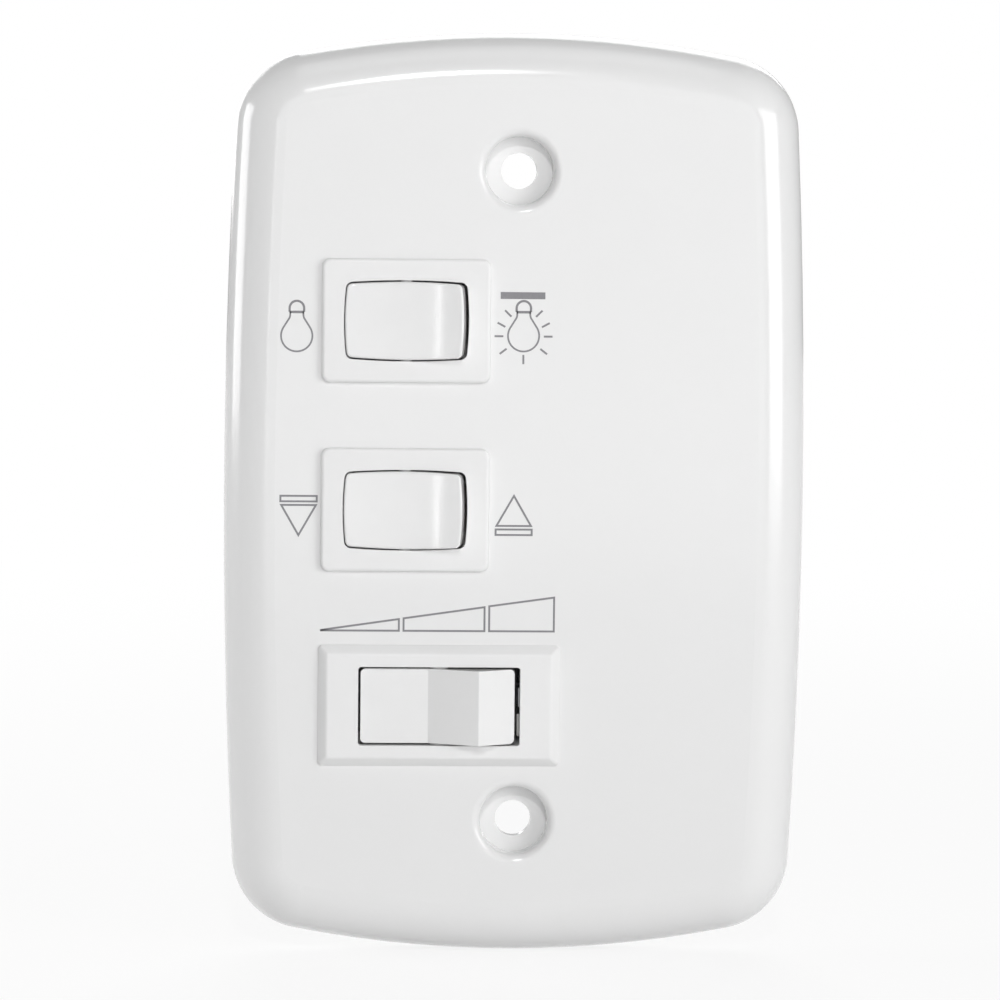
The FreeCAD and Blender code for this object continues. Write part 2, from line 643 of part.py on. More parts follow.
def rocker(prefix, level):
    """Hollow rocker with a dished face, two pivot pins and a boss for the spring."""
    body = new_body(f"{prefix}_rocker", rocker_column, rocker_pivot, level, -rocker_tilt)
    half_x = opening_length / 2 - rocker_end_gap
    half_z = opening_height / 2 - rocker_gap
    shape = front_sketch(body, rocker_skirt)
    outline(shape, [(opening_bow - half_x, opening_bow - half_z),
                    (half_x - opening_bow, opening_bow - half_z),
                    (half_x - opening_bow, half_z - opening_bow),
                    (opening_bow - half_x, half_z - opening_bow)],
            bows=(opening_bow, opening_bow, opening_bow, opening_bow))
    pad(shape, rocker_skirt + rocker_edge)
    dress("Fillet", body, along_depth, opening_corner - rocker_gap)
    dish_radius = (half_x * half_x + rocker_dish * rocker_dish) / (rocker_dish * 2)
    dish = plan_sketch(body)
    circle(dish, 0, rocker_dish - rocker_edge - dish_radius, dish_radius)
    pocket(dish, opening_height * 2, symmetric=True)
    deepest = value_of(rocker_dish - rocker_edge)
    dress("Fillet", body, lambda edge: edge.BoundBox.YMax < deepest + slack
          and edge.BoundBox.YMin < deepest - slack, rocker_round)
    ceiling = rocker_dish + rocker_wall - rocker_edge
    inside = front_sketch(body, rocker_skirt)
    centred(inside, (half_x - opening_bow - rocker_wall) * 2, (half_z - opening_bow - rocker_wall) * 2)
    pocket(inside, rocker_skirt - ceiling, reverse=True)
    boss = front_sketch(body, boss_reach)
    circle(boss, 0, 0, boss_radius)
    pad(boss, boss_reach - ceiling)
    bore = front_sketch(body, boss_reach)
    circle(bore, 0, 0, bore_radius)
    pocket(bore, boss_reach - bore_top, reverse=True)
    pin_start = half_z - opening_bow - rocker_wall / 2
    pin_end = cavity_height / 2 + pin_bite
    for side in (1, -1):
        pin = plan_sketch(body, pin_start * side)
        circle(pin, 0, 0, pin_radius)
        pad(pin, pin_end - pin_start, reverse=side < 0)
    return body


def plunger(prefix, level):
    """Round-nosed plunger with a spigot at its back for the spring."""
    body = new_body(f"{prefix}_plunger", rocker_column, rocker_pivot, level, -rocker_tilt)
    half = plan_sketch(body)
    radius = bore_radius - plunger_gap
    nose = radius - plunger_flat
    spigot_end = plunger_back - spigot_length
    outline(half, [(radius, plunger_tip - nose), (plunger_flat, plunger_tip), (0, plunger_tip),
                   (0, spigot_end), (spigot_radius, spigot_end),
                   (spigot_radius, plunger_back), (radius, plunger_back)],
            bows=(nose * (1 - math.sqrt(1 / 2)),))
    revolve(half)
    return body


def spring(name, column, axis, level, turn, start, end, outer, wire, coils):
    """Helical compression spring about the body's Y axis."""
    body = new_body(name, column, axis, level, turn)
    section = plan_sketch(body)
    circle(section, outer - wire / 2, start + wire / 2, wire / 2)
    coil = body.newObject("PartDesign::AdditiveHelix", f"{name}_coil")
    coil.Profile = section
    coil.ReferenceAxis = (section, ["V_Axis"])
    coil.Mode = "height-turns-angle"
    bind(coil, "Height", end - start - wire)
    bind(coil, "Turns", coils)
    return body


def contact_arm(prefix, level):
    """See-saw strip; its two ears rock on the common blade with knife-edge notches."""
    body = new_body(f"{prefix}_contact_arm", rocker_column, arm_pivot, level, arm_tilt)
    flat = plan_sketch(body)
    rectangle(flat, -arm_half, -arm_top, arm_half, strip - arm_top)
    pad(flat, arm_width, symmetric=True)
    notch = half_tab + pivot_gap
    side_x = cosine(notch_flare) * notch
    side_y = -sine(notch_flare) * notch
    flare = (ear_drop - side_y) * sine(notch_flare) / cosine(notch_flare)
    for side in (1, -1):
        ear = plan_sketch(body, arm_width / 2 * side)
        outline(ear, [(-ear_half, strip / 2 - arm_top), (ear_half, strip / 2 - arm_top),
                      (ear_half - ear_taper, ear_drop), (side_x + flare, ear_drop),
                      (side_x, side_y), (-side_x, side_y),
                      (-side_x - flare, ear_drop), (ear_taper - ear_half, ear_drop)])
        pad(ear, strip, reverse=side > 0)
        relief = plan_sketch(body, arm_width / 2 * side)
        circle(relief, 0, 0, notch)
        pocket(relief, strip, reverse=side < 0)
    rivets = front_sketch(body, strip - arm_top)
    for place in contact_places(prefix):
        circle(rivets, place, 0, shank_radius)
    pocket(rivets, strip + run_out, reverse=True)
    return body


def contact_places(prefix):
    """The lamp switch closes on the left only, the reversing switch on both sides."""
    return (-contact_reach,) if prefix == "lamp" else (-contact_reach, contact_reach)


def arm_contacts(prefix, level):
    """Silver rivets in the see-saw strip."""
    body = new_body(f"{prefix}_arm_contacts", rocker_column, arm_pivot, level, arm_tilt)
    body.AllowCompound = True
    heads = front_sketch(body, strip - arm_top + contact_height)
    shanks = front_sketch(body, strip - arm_top)
    for place in contact_places(prefix):
        circle(heads, place, 0, contact_radius)
        circle(shanks, place, 0, shank_radius)
    pad(heads, contact_height)
    pad(shanks, strip)
    dress("Fillet", body, at_depth(strip - arm_top + contact_height), contact_dome)
    return body


def fixed_contacts(prefix, level):
    """Silver rivets in the feet of the end terminals."""
    body = new_body(f"{prefix}_fixed_contacts", rocker_column, 0, level)
    body.AllowCompound = True
    heads = front_sketch(body, leg_front)
    shanks = front_sketch(body, floor_front)
    for place in contact_places(prefix):
        circle(heads, place, 0, contact_radius)
        circle(shanks, place, 0, shank_radius)
    pad(heads, contact_height)
    pad(shanks, tab_thickness)
    dress("Fillet", body, at_depth(contact_face), contact_dome)
    return body


def finish_blade(body, outer_x, end, level, width):
    """Chamfers the tip of a blade and pierces it near the tip."""
    def tip_edge(edge):
        box = edge.BoundBox
        return at_depth(end)(edge) and box.ZLength < slack
    dress("Chamfer", body, tip_edge, tab_tip)
    hole = side_sketch(body, outer_x)
    circle(hole, end - width * hole_share, level, tab_hole)
    pocket(hole, tab_thickness * 4, symmetric=True)


def centre_terminal(prefix, level):
    """Common blade; its rounded front edge is the see-saw's pivot."""
    body = new_body(f"{prefix}_common_terminal", rocker_column, 0, level)
    end = floor_back + tab_reach
    section = plan_sketch(body)
    outline(section, [(-half_tab, arm_pivot), (half_tab, arm_pivot), (half_tab, end), (-half_tab, end)],
            bows=(half_tab * nearly_half_round,))
    pad(section, tab_width, symmetric=True)
    finish_blade(body, 0, end, 0, tab_width)
    return body


def end_terminal(name, level, side):
    """Blade with a foot on the module floor under the see-saw's contact."""
    body = new_body(name, rocker_column, 0, level)
    end = floor_back + tab_reach
    outer = end_tab * side
    inner = outer - tab_thickness * side
    toe = (contact_reach - contact_radius - tab_thickness / 2) * side
    profile = [(outer, leg_front), (outer, end), (inner, end), (inner, floor_front),
               (toe, floor_front), (toe, leg_front)]
    section = plan_sketch(body)
    outline(section, profile if side > 0 else profile[::-1])
    pad(section, tab_width, symmetric=True)

    def bend(edge):
        centre = edge.BoundBox.Center
        return (edge.BoundBox.ZLength > slack and abs(centre.x - value_of(outer)) < slack
                and abs(centre.y - value_of(leg_front)) < slack)
    dress("Fillet", body, bend, tab_thickness - bend_relief)
    seat = front_sketch(body, leg_front)
    circle(seat, contact_reach * side, 0, shank_radius)
    pocket(seat, tab_thickness + run_out)
    finish_blade(body, outer, end, 0, tab_width)
    return body


def rocker_module(prefix, level, ends):
    """One rocker switch; ends names its end terminals by the side they stand on."""
    blades = [Size(0, "0")] + [end_tab * side for side in ends]
    pieces = [rocker_housing(prefix, level, blades, stop=len(ends) < 2),
              rocker(prefix, level), plunger(prefix, level),
              spring(f"{prefix}_spring", rocker_column, rocker_pivot, level, -rocker_tilt,
                     bore_top, plunger_back, bore_radius - spring_play,
                     spring_wire, spring_coils),
              contact_arm(prefix, level), arm_contacts(prefix, level),
              fixed_contacts(prefix, level), centre_terminal(prefix, level)]
    for side, name in ends.items():
        pieces.append(end_terminal(f"{prefix}_{name}_terminal", level, side))
    return pieces


speed_pivot = front + paddle_axis
speed_cavity_length = speed_body_length - speed_end_wall * 2
speed_cavity_height = speed_body_height - module_wall * 2
# The bridge's feet sweep one circle; rail and contacts stand just outside it.
track_radius = pusher_end + bridge_strip + foot_height + track_gap
rail_front = speed_pivot + track_radius
strip_front = rail_front + speed_rise
speed_floor = strip_front + tab_thickness
speed_back = speed_floor + module_wall
outer_contact = speed_pivot + root(track_radius * track_radius - speed_spacing * speed_spacing)
contact_track = speed_level + track_offset
rail_track = speed_level - track_offset


def speed_housing():
    """Moulded case of the speed switch: chamfered bezel, window, pivot seats, snap
    tongues, a ledge for the rail and a slot for each blade."""
    body = new_body("speed_housing", speed_column, 0, speed_level)
    bezel = front_sketch(body, front)
    centred(bezel, bezel_length, bezel_height)
    pad(bezel, bezel_rise)
    dress("Chamfer", body, at_depth(front - bezel_rise), bezel_chamfer)
    dress("Fillet", body, slanting_or_deep, bezel_corner)
    dress("Fillet", body, at_depth(front - bezel_rise), bezel_soft)
    case = front_sketch(body, speed_back)
    centred(case, speed_body_length, speed_body_height)
    pad(case, speed_back - front)
    cavity = front_sketch(body, cavity_front)
    centred(cavity, speed_cavity_length, speed_cavity_height)
    pocket(cavity, speed_floor - cavity_front)
    ledge = front_sketch(body, speed_floor)
    rectangle(ledge, -rail_start, -track_offset - track_width / 2,
              outer_tab, track_width / 2 - track_offset)
    pad(ledge, speed_floor - rail_front - tab_thickness)
    window = front_sketch(body, front - bezel_rise)
    centred(window, window_length, window_height)
    pocket(window, bezel_rise + lip_skin)
    dress("Fillet", body, corner_of(window_length / 2, window_height / 2), window_corner)
    seats = plan_sketch(body)
    circle(seats, 0, speed_pivot, paddle_pin + pivot_gap)
    pocket(seats, speed_cavity_height + (pin_bite + pivot_gap * 2) * 2, symmetric=True)
    module_snaps(body, speed_body_length / 2)
    slots = front_sketch(body, speed_floor)
    centred(slots, tab_thickness, track_width, 0, track_offset)
    for side in (1, -1):
        centred(slots, tab_thickness, track_width, (outer_tab - half_tab) * side, track_offset)
    centred(slots, tab_thickness, track_width, rail_tab - half_tab, -track_offset)
    pocket(slots, module_wall + run_out)
    return body


def paddle():
    """Speed paddle: a raised ridge for the finger, a valley, two pivot pins, a boss
    for the spring and a quadrant with one detent notch for each speed."""
    body = new_body("speed_paddle", speed_column, speed_pivot, speed_level, -paddle_tilt)
    width = window_height - paddle_gap * 2
    taper = paddle_gap / 2
    side = plan_sketch(body)
    outline(side, [(-paddle_left, -paddle_left_rise), (-valley_offset, -valley_rise),
                   (ridge_offset, -ridge_rise), (paddle_right, 0),
                   (paddle_right - taper, paddle_skirt), (taper - paddle_left, paddle_skirt)])
    pad(side, width, symmetric=True)
    left_end = value_of(taper - paddle_left) + slack
    right_end = value_of(paddle_right - taper) - slack

    def end_corner(edge):
        box = edge.BoundBox
        return (box.ZLength < slack and (box.XMax < left_end or box.XMin > right_end)
                and box.YLength > value_of(paddle_skirt) - slack)
    dress("Fillet", body, end_corner, paddle_corner)
    inside = plan_sketch(body)
    outline(inside, [(paddle_wall - paddle_left, paddle_skirt + run_out),
                     (paddle_wall - paddle_left, paddle_wall - valley_rise),
                     (-valley_offset, paddle_wall - valley_rise),
                     (ridge_offset, ridge_wall - ridge_rise),
                     (paddle_right - slope_wall, 0),
                     (paddle_right - ridge_wall, paddle_skirt + run_out)])
    pocket(inside, width - paddle_wall * 2, symmetric=True)
    boss = front_sketch(body, paddle_boss_reach)
    circle(boss, 0, 0, paddle_boss)
    pad(boss, paddle_boss_reach + (valley_rise - paddle_wall))
    bore = front_sketch(body, paddle_boss_reach)
    circle(bore, 0, 0, paddle_bore)
    pocket(bore, paddle_boss_reach - paddle_bore_top, reverse=True)

    # Notches stand at the detent's own angle and one paddle step to each side of it.
    quadrant = plan_sketch(body, quadrant_shift)
    first = detent_angle - paddle_tilt - notch_half * 2
    last = detent_angle + paddle_tilt + notch_half * 2
    rim = [polar(quadrant_radius, first)]
    for step in (-1, 0, 1):
        notch = detent_angle + paddle_tilt * step
        rim += [polar(quadrant_radius, notch - notch_half),
                polar(quadrant_radius - notch_depth, notch),
                polar(quadrant_radius, notch + notch_half)]
    rim.append(polar(quadrant_radius, last))
    web = [(paddle_boss + web_gap, Size(0, "0")), (paddle_right - paddle_wall, Size(0, "0"))]
    outline(quadrant, web + rim + [polar(quadrant_radius - web_width, last)])
    pad(quadrant, quadrant_width, symmetric=True)
    pin_start = width / 2 - paddle_wall / 2
    pin_end = speed_cavity_height / 2 + pin_bite
    for direction in (1, -1):
        pin = plan_sketch(body, pin_start * direction)
        circle(pin, 0, 0, paddle_pin)
        pad(pin, pin_end - pin_start, reverse=direction < 0)
    return body


def polar(radius, angle):
    """A point at an angle from +X towards +Y, about the sketch's own origin."""
    return (cosine(angle) * radius, sine(angle) * radius)


def pusher():
    """Insulating pusher between the spring and the contact bridge."""
    body = new_body("speed_pusher", speed_column, speed_pivot, speed_level, -paddle_tilt)
    half = plan_sketch(body)
    seat = pusher_end + bridge_strip
    radius = paddle_bore - plunger_gap
    outline(half, [(0, pusher_back - pusher_spigot_length),
                   (pusher_spigot, pusher_back - pusher_spigot_length),
                   (pusher_spigot, pusher_back), (radius, pusher_back), (radius, pusher_end),
                   (pusher_spigot, pusher_end), (pusher_spigot, seat), (0, seat)])
    revolve(half)
    return body


def bridge():
    """Silvered strip that joins the rail to one of the three fixed contacts."""
    body = new_body("speed_contact_bridge", speed_column, speed_pivot, speed_level, -paddle_tilt)
    strip_back = pusher_end + bridge_strip
    flat = front_sketch(body, strip_back)
    centred(flat, bridge_width, bridge_length)
    pad(flat, bridge_strip)
    feet = front_sketch(body, strip_back + foot_height)
    for side in (1, -1):
        circle(feet, 0, track_offset * side, foot_radius)
    pad(feet, foot_height)
    dress("Fillet", body, at_depth(strip_back + foot_height), foot_round)
    hole = front_sketch(body, pusher_end)
    circle(hole, 0, 0, pusher_spigot)
    pocket(hole, bridge_strip + run_out)
    return body


def speed_contacts():
    """Three silver rivets on one circle about the paddle's axis."""
    body = new_body("speed_contacts", speed_column, 0, contact_track)
    body.AllowCompound = True
    shanks = front_sketch(body, speed_floor)
    for place in (-speed_spacing, 0, speed_spacing):
        circle(shanks, place, 0, shank_radius)
    pad(shanks, tab_thickness)
    middle = front_sketch(body, strip_front)
    circle(middle, 0, 0, speed_contact)
    pad(middle, speed_rise)
    outer = front_sketch(body, strip_front)
    for side in (1, -1):
        circle(outer, speed_spacing * side, 0, speed_contact)
    pad(outer, strip_front - outer_contact)
    faces = (at_depth(rail_front), at_depth(outer_contact))
    dress("Fillet", body, lambda edge: faces[0](edge) or faces[1](edge), contact_dome)
    return body


def pierce_seat(body, place):
    """A hole for a rivet shank through the foot of a speed terminal."""
    seat = front_sketch(body, strip_front)
    circle(seat, place, 0, shank_radius)
    pocket(seat, tab_thickness + run_out)


def medium_terminal():
    """T-shaped blade under the middle contact."""
    body = new_body("speed_medium_terminal", speed_column, 0, contact_track)
    end = speed_back + tab_reach
    half = speed_contact + foot_margin
    section = plan_sketch(body)
    outline(section, [(-half, strip_front), (half, strip_front), (half, speed_floor),
                      (half_tab, speed_floor), (half_tab, end), (-half_tab, end),
                      (-half_tab, speed_floor), (-half, speed_floor)])
    pad(section, track_width, symmetric=True)
    finish_blade(body, 0, end, 0, track_width)
    hole = front_sketch(body, strip_front)
    circle(hole, 0, 0, shank_radius)
    pocket(hole, tab_thickness)
    return body


def outer_terminal(name, side):
    """Blade whose foot runs along the floor to one of the outer contacts."""
    body = new_body(name, speed_column, 0, contact_track)
    end = speed_back + tab_reach
    outer = outer_tab * side
    inner = outer - tab_thickness * side
    toe = (speed_spacing - speed_contact - foot_margin) * side
    profile = [(outer, strip_front), (outer, end), (inner, end), (inner, speed_floor),
               (toe, speed_floor), (toe, strip_front)]
    section = plan_sketch(body)
    outline(section, profile if side > 0 else profile[::-1])
    pad(section, track_width, symmetric=True)
    pierce_seat(body, speed_spacing * side)
    finish_blade(body, outer, end, 0, track_width)
    return body


def rail_terminal():
    """Common blade: a flat rail under the bridge and a finger standing at its end."""
    body = new_body("speed_common_terminal", speed_column, 0, rail_track)
    end = speed_back + tab_reach
    inner = rail_tab - tab_thickness
    section = plan_sketch(body)
    outline(section, [(-rail_start, rail_front), (rail_tab, rail_front), (rail_tab, end),
                      (inner, end), (inner, rail_front + tab_thickness),
                      (-rail_start, rail_front + tab_thickness)])
    pad(section, track_width, symmetric=True)
    finger = plan_sketch(body)
    rectangle(finger, inner, front + finger_top, rail_tab, rail_front)
    pad(finger, rail_finger, symmetric=True)
    finish_blade(body, rail_tab, end, 0, track_width)
    return body


def detent_leaf():
    """Bent leaf spring whose nose drops into the notches of the paddle's quadrant."""
    body = new_body("speed_detent_spring", speed_column, 0, speed_level)
    half = leaf_thickness / 2
    nose_x, nose_y = polar(quadrant_radius + nose_gap + half, detent_angle)
    line = leaf_line + half
    lean = line - leaf_lean
    foot = speed_floor - half
    path = plan_sketch(body, quadrant_shift)
    open_path(path, [(line + leaf_foot, foot), (line, foot),
                     (line, speed_pivot + nose_y + leaf_nose),
                     (nose_x, speed_pivot + nose_y),
                     (lean, speed_pivot + nose_y - leaf_nose), (lean, front + leaf_tip)])
    section = side_sketch(body, line + leaf_foot)
    centred(section, leaf_thickness, leaf_width, foot, quadrant_shift)
    ribbon = body.newObject("PartDesign::AdditivePipe", "leaf_ribbon")
    ribbon.Profile = section
    ribbon.Spine = path
    ribbon.Transition = "Round corner"
    return body


def speed_module():
    """Everything inside the three-position switch."""
    return [speed_housing(), paddle(), pusher(),
            spring("speed_spring", speed_column, speed_pivot, speed_level, -paddle_tilt,
                   paddle_bore_top, pusher_back, paddle_bore - spring_play,
                   speed_wire, speed_coils),
            bridge(), speed_contacts(), medium_terminal(),
            outer_terminal("speed_low_terminal", 1), outer_terminal("speed_high_terminal", -1),
            rail_terminal(), detent_leaf()]


capacitor_front = inner_face + cradle_gap
resin_length = capacitor_width - capacitor_wall * 2
resin_height = capacitor_height - capacitor_wall * 2


def capacitor_body(name):
    return new_body(name, capacitor_column, capacitor_front, capacitor_level)


def capacitor_case():
    """Moulded cup, open towards the wall box."""
    body = capacitor_body("capacitor_case")
    shape = front_sketch(body, capacitor_depth)
    centred(shape, capacitor_width, capacitor_height)
    pad(shape, capacitor_depth)
    dress("Fillet", body, along_depth, capacitor_round)
    dress("Fillet", body, at_depth(0), capacitor_edge)
    cup = front_sketch(body, capacitor_depth)
    centred(cup, resin_length, resin_height)
    pocket(cup, capacitor_depth - capacitor_wall, reverse=True)
    return body


blade_places = [(blade_offset * x, blade_pitch * z / 2) for x in (-1, 1) for z in (-1, 1)]


def potting():
    """Resin block that fills the cup round the windings and holds the blades."""
    body = capacitor_body("capacitor_potting")
    block = front_sketch(body, capacitor_depth - resin_drop)
    centred(block, resin_length, resin_height)
    pad(block, capacitor_depth - resin_drop - capacitor_wall)
    seats = front_sketch(body, capacitor_depth - resin_drop)
    for x, z in blade_places:
        centred(seats, tab_thickness, blade_width, x, z)
    pocket(seats, blade_root, reverse=True)
    return body


def capacitor_blades():
    """Four push-on blades potted in the resin."""
    body = capacitor_body("capacitor_blades")
    body.AllowCompound = True
    end = capacitor_depth - resin_drop + blade_reach
    blades = front_sketch(body, end)
    for x, z in blade_places:
        centred(blades, tab_thickness, blade_width, x, z)
    pad(blades, blade_reach + blade_root)
    for z in (1, -1):
        finish_blade(body, 0, end, blade_pitch * z / 2, blade_width)
    return body


pieces = [faceplate()]
pieces += rocker_module("lamp", lamp_level, {-1: "load"})
pieces += rocker_module("reversing", reversing_level, {-1: "forward", 1: "reverse"})
pieces += speed_module()
pieces += [capacitor_case(), potting(), capacitor_blades()]
doc.recompute()

for item in doc.Objects:
    if "Invalid" in item.State or "Error" in item.State:
        raise RuntimeError(f"{item.Name} could not be built: {item.State}")
for piece in pieces:
    if piece.Shape.isNull() or not piece.Shape.isValid():
        raise RuntimeError(f"{piece.Label} is not a sound solid")

os.makedirs("parts", exist_ok=True)
for piece in pieces:
    piece.Shape.exportStep(os.path.join("parts", piece.Label + ".step"))
print(len(pieces), "pieces written")
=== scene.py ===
"""Looks of the fan speed control switch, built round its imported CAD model."""

import math

import bmesh
import bpy
from mathutils import Euler, Matrix, Vector


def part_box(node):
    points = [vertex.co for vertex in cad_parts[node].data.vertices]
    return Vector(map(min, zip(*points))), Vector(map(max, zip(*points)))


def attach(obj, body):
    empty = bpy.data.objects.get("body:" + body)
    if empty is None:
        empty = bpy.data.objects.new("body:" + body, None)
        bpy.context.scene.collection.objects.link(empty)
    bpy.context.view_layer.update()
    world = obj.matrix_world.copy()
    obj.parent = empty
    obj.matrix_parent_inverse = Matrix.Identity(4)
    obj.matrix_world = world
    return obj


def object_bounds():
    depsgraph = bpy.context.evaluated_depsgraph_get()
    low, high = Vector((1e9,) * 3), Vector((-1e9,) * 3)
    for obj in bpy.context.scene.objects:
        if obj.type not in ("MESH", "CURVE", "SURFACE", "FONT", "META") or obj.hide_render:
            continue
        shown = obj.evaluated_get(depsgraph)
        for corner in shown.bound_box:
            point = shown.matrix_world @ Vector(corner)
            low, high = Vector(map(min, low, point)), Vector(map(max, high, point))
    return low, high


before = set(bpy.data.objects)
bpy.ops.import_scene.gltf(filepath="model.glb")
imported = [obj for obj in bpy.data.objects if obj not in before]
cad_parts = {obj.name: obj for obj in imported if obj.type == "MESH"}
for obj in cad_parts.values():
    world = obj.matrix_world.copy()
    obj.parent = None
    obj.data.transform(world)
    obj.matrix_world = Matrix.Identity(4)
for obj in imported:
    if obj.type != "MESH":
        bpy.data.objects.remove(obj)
cad_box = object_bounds()

# The studio: the switch stands on a white table in a white room, between soft lamps.
# The camera looks at its front from a little above and a little to the left, through
# a long lens, as the photograph was taken.
MM = 0.001
scene = bpy.context.scene
scene.view_settings.view_transform = "Standard"

camera_distance = 500 * MM
camera_turn = Euler((0.0668, 0.0504, -0.0067)).to_matrix()
camera_aim = Vector((-1.7426 * MM, -0.8659 * MM, camera_distance))
picture_width = 36.0
focal_ratio = 3.8479
facing = Matrix.Rotation(math.radians(90), 3, "X") @ camera_turn.transposed()
camera = bpy.data.objects.new("camera", bpy.data.cameras.new("camera"))
camera.data.sensor_width = picture_width
camera.data.lens = picture_width * focal_ratio
camera.data.clip_start = 10 * MM
camera.data.clip_end = 100
camera.matrix_world = Matrix.Translation(facing @ camera_aim) @ facing.to_4x4()
scene.collection.objects.link(camera)
scene.camera = camera


def lamp(name, turn, rise, distance, power, width, height=None):
    """A soft lamp, square unless a height is given, that shines at the switch."""
    data = bpy.data.lights.new(name, "AREA")
    data.shape = "RECTANGLE"
    data.size = width
    data.size_y = height or width
    data.energy = power
    light = bpy.data.objects.new(name, data)
    side, up = math.radians(turn), math.radians(rise)
    out = Vector((math.sin(side) * math.cos(up), -math.cos(side) * math.cos(up), math.sin(up)))
    light.location = out * distance
    light.rotation_mode = "QUATERNION"
    light.rotation_quaternion = out.to_track_quat("Z", "Y")
    light.visible_camera = False
    scene.collection.objects.link(light)


lamp("front_lamp", 0, 0, 0.6, 1.15, 0.53)
lamp("key_lamp", 50, 8, 0.9, 4.0, 0.5)
lamp("upper_lamp", -1.5, 31, 1.0, 2.2, 0.06)
lamp("edge_lamp", -23.6, 2, 0.59, 0.06, 0.007, 0.2)
lamp("top_lamp", 0, 80, 0.9, 1.0, 0.5)
lamp("left_rim_lamp", -103, 11, 0.9, 3.0, 0.4)
lamp("right_back_lamp", 168, 35, 1.0, 3.2, 0.6)
lamp("left_back_lamp", -160, 20, 1.0, 2.2, 0.6)

# White where the camera looks at it, pale grey for a shiny face and dark as light.
room_light = 0.04
room_sheen = 0.4
world = bpy.data.worlds.new("white_room")
world.use_nodes = True
scene.world = world
room = world.node_tree
backdrop = room.nodes["Background"]
backdrop.inputs["Color"].default_value = (1, 1, 1, 1)
rays = room.nodes.new("ShaderNodeLightPath")
sheen = room.nodes.new("ShaderNodeMix")
sheen.inputs["A"].default_value = room_light
sheen.inputs["B"].default_value = room_sheen
brightness = room.nodes.new("ShaderNodeMix")
brightness.inputs["B"].default_value = 1.0
room.links.new(rays.outputs["Is Glossy Ray"], sheen.inputs["Factor"])
room.links.new(sheen.outputs["Result"], brightness.inputs["A"])
room.links.new(rays.outputs["Is Camera Ray"], brightness.inputs["Factor"])
room.links.new(brightness.outputs["Result"], backdrop.inputs["Strength"])


class Signal:
    """One socket of a finish. Sums with it add the Math nodes that work them out."""

    def __init__(self, finish, socket):
        self.finish = finish
        self.socket = socket

    def math(self, operation, *values):
        settings = {"operation": operation}
        return self.finish.node("ShaderNodeMath", settings, dict(enumerate(values)))

    def __add__(self, other):
        return self.math("ADD", self, other)

    def __mul__(self, other):
        return self.math("MULTIPLY", self, other)

    __radd__ = __add__
    __rmul__ = __mul__

    def between(self, low, high):
        """0 up to low, 1 from high, and a smooth rise in between."""
        settings = {"interpolation_type": "SMOOTHSTEP"}
        return self.finish.node("ShaderNodeMapRange", settings, {0: self, 1: low, 2: high})


class Finish:
    """A finish made of nodes. Values that are the same all over go in by socket name."""

    def __init__(self, name, **shader_values):
        self.material = bpy.data.materials.new(name)
        self.material.use_nodes = True
        self.tree = self.material.node_tree
        self.shader = self.tree.nodes["Principled BSDF"]
        for socket, value in shader_values.items():
            self.shader.inputs[socket.replace("_", " ")].default_value = value
        self.place = self.node("ShaderNodeTexCoord", {}, {}, "Object")

    def node(self, kind, settings, sockets, output=0):
        """Adds a node: its settings first, then the values or links of its sockets."""
        made = self.tree.nodes.new(kind)
        for name, value in settings.items():
            setattr(made, name, value)
        for name, value in sockets.items():
            if isinstance(value, Signal):
                self.tree.links.new(value.socket, made.inputs[name])
            else:
                made.inputs[name].default_value = value
        return Signal(self, made.outputs[output])

    def mix(self, amount, first, second):
        """From one colour to the other."""
        settings = {"data_type": "RGBA"}
        return self.node("ShaderNodeMix", settings, {0: amount, 6: first, 7: second}, 2)

    def grain(self, size, detail=2.0, along=(1, 1, 1)):
        """Cloudy noise from 0 to 1 with features of one size in metres, stretched by along."""
        squeeze = tuple(1 / a for a in along)
        settings = {"operation": "MULTIPLY"}
        place = self.node("ShaderNodeVectorMath", settings, {0: self.place, 1: squeeze})
        sockets = {"Vector": place, "Scale": 1 / size, "Detail": detail}
        return self.node("ShaderNodeTexNoise", {}, sockets)

    def relief(self, height, depth, below=None):
        """The normal of a surface raised by height, from 0 to 1, times depth in metres."""
        sockets = {"Height": height, "Distance": depth}
        if below:
            sockets["Normal"] = below
        return self.node("ShaderNodeBump", {}, sockets)

    def softened(self, radius):
        """The normal with sharp edges rounded to a radius, as a mould leaves them."""
        return self.node("ShaderNodeBevel", {"samples": 6}, {"Radius": radius})

    def feed(self, **signals):
        """Links what varies over the surface to the shader's sockets."""
        for socket, signal in signals.items():
            self.tree.links.new(signal.socket, self.shader.inputs[socket.replace("_", " ")])


# The table takes the shadow of the switch, and for the camera it fades to the white of
# the room. In the glossy faces of the switch it shows as plain white.
table_half = 3.0
table_top = bpy.data.meshes.new("table_top")
table_corners = [(-1, -1), (1, -1), (1, 1), (-1, 1)]
table_level = cad_box[0].z
corners = [(x * table_half, y * table_half, table_level) for x, y in table_corners]
table_top.from_pydata(corners, [], [(0, 1, 2, 3)])
table = bpy.data.objects.new("table_top", table_top)
scene.collection.objects.link(table)
white_table = Finish("white_table", Base_Color=(0.86, 0.86, 0.86, 1), Roughness=0.6)
table_glow = 0.85
table_glow_near, table_glow_far = 0.1, 0.6
camera_ray = white_table.node("ShaderNodeLightPath", {}, {}, "Is Camera Ray")
shiny_ray = white_table.node("ShaderNodeLightPath", {}, {}, "Is Glossy Ray")
glow = white_table.node("ShaderNodeEmission", {}, {"Color": (1, 1, 1, 1)})
length = {"operation": "LENGTH"}
away = white_table.node("ShaderNodeVectorMath", length, {0: white_table.place}, 1)
fade = table_glow + away.between(table_glow_near, table_glow_far) * (1 - table_glow)
lit_table = Signal(white_table, white_table.shader.outputs[0])
share = camera_ray * fade + shiny_ray
shown = white_table.node("ShaderNodeMixShader", {}, {0: share, 1: lit_table, 2: glow})
